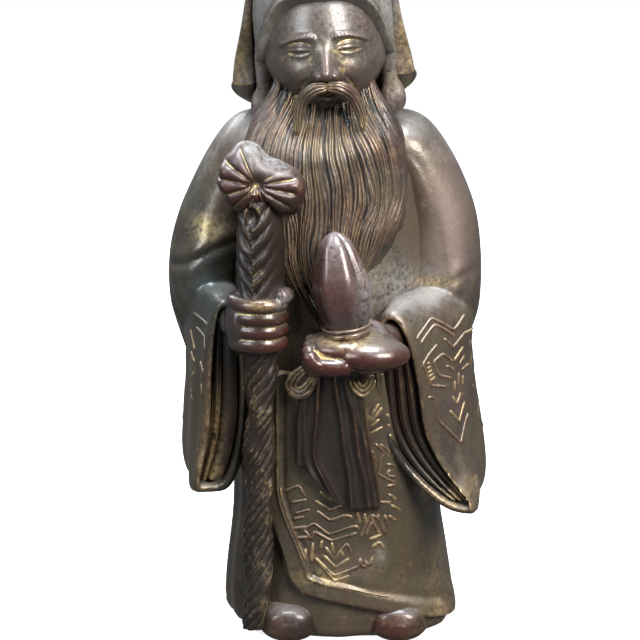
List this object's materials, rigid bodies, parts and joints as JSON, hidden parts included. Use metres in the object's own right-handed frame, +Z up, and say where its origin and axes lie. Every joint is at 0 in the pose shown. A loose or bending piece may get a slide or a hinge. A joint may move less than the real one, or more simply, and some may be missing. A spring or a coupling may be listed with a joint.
{
  "type": "standing figure sculpture",
  "caption": "Cast-brass standing elder in a hood cap and wide-sleeved robe, holding a gnarled staff and a peach; a free-standing ornament.",
  "frame": {"origin": "under the middle of the figure's box, on the surface that it stands on", "axes": "+Z up, the figure faces -Y, its right hand with the staff is on -X"},
  "size_m": [0.1256, 0.1008, 0.2795],
  "materials": {
    "patina_cloth": "dark glossy patina, rubbed to bare brass along raised edges",
    "patina_skin": "red-brown lacquered patina",
    "patina_hair": "dark patina with bare brass on the strands",
    "patina_staff": "dark red-brown patina"
  },
  "bodies": {
    "root": {"cap_crown": "patina_cloth", "cap_drape": "patina_cloth", "gown": "patina_cloth", "robe_panel": "patina_cloth", "sash_apron": "patina_cloth", "sash_knot": "patina_cloth", "sash_bow": "patina_cloth", "right_sleeve": "patina_cloth", "left_sleeve": "patina_cloth", "right_lining": "patina_cloth", "left_lining": "patina_cloth", "right_shoe": "patina_cloth", "left_shoe": "patina_cloth", "head": "patina_skin", "right_hand": "patina_skin", "left_hand": "patina_skin", "peach": "patina_skin", "beard": "patina_hair", "moustache": "patina_hair", "staff_pole": "patina_staff", "staff_crook": "patina_staff"}
  },
  "joints": []
}
